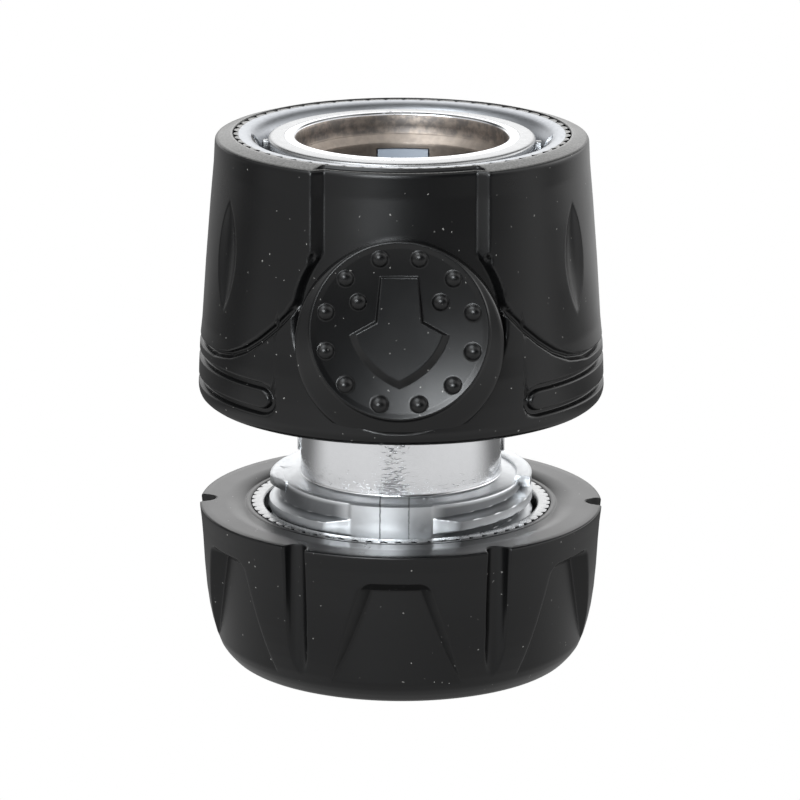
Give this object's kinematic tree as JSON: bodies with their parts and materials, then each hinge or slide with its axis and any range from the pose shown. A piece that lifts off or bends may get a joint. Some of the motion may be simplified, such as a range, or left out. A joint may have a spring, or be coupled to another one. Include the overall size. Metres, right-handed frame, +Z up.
{
  "type": "hose connector",
  "caption": "Female click-together garden hose connector: spring sleeve that frees claws, cast socket and neck, clamping nut over a barbed tail.",
  "frame": {"origin": "centre of the clamping nut's bottom face, on the part's axis", "axes": "+Z up the axis, out of the socket's mouth; -Y to the front, where the arrow pad seen in the picture is; +X to the picture's right"},
  "size_m": [0.037, 0.0388, 0.049],
  "materials": {
    "chromed_zinc": "bright plated casting, lightly pitted",
    "nickel": "turned and nickel plated",
    "soft_rubber": "matt, finely grained",
    "seal_rubber": "smooth",
    "claw_plastic": "smooth",
    "collet_plastic": "smooth",
    "spring_steel": "drawn wire"
  },
  "bodies": {
    "body": {"body": "chromed_zinc", "mouth_ring": "chromed_zinc", "hose_tail": "nickel", "tail_seal": "seal_rubber", "release_spring": "spring_steel"},
    "sleeve": {"sleeve_ring": "chromed_zinc", "sleeve_grip": "soft_rubber"},
    "claw_front": {"claw_front": "claw_plastic"},
    "claw_right": {"claw_right": "claw_plastic"},
    "claw_back": {"claw_back": "claw_plastic"},
    "claw_left": {"claw_left": "claw_plastic"},
    "collet": {"collet": "collet_plastic"},
    "nut": {"nut_ring": "chromed_zinc", "nut_grip": "soft_rubber"}
  },
  "joints": [
    {"name": "sleeve_slide", "type": "slide", "parent": "body", "child": "sleeve", "axis": [0, 0, -1], "range_m": [0, 0.0045], "stiffness_N_per_m": 1500, "springref_m": -0.006, "deforming": ["release_spring"]},
    {"name": "claw_front_slide", "type": "slide", "parent": "body", "child": "claw_front", "axis": [0, -1, 0], "range_m": [0, 0.00099]},
    {"name": "claw_right_slide", "type": "slide", "parent": "body", "child": "claw_right", "axis": [1, 0, 0], "range_m": [0, 0.00099]},
    {"name": "claw_back_slide", "type": "slide", "parent": "body", "child": "claw_back", "axis": [0, 1, 0], "range_m": [0, 0.00099]},
    {"name": "claw_left_slide", "type": "slide", "parent": "body", "child": "claw_left", "axis": [-1, 0, 0], "range_m": [0, 0.00099]},
    {"name": "nut_advance", "type": "slide", "parent": "body", "child": "collet", "axis": [0, 0, 1], "range_m": [-0.0042, 0.00315]},
    {"name": "nut_turn", "type": "hinge", "parent": "collet", "child": "nut", "pos_m": [0, 0, 0.0075], "axis": [0, 0, 1], "range_deg": [-720, 540]}
  ],
  "couplings": [
    {"joint": "claw_front_slide", "follows": "sleeve_slide", "ratio": 0.22},
    {"joint": "claw_right_slide", "follows": "sleeve_slide", "ratio": 0.22},
    {"joint": "claw_back_slide", "follows": "sleeve_slide", "ratio": 0.22},
    {"joint": "claw_left_slide", "follows": "sleeve_slide", "ratio": 0.22},
    {"joint": "nut_advance", "follows": "nut_turn", "m_per_rad": 0.00033423}
  ]
}
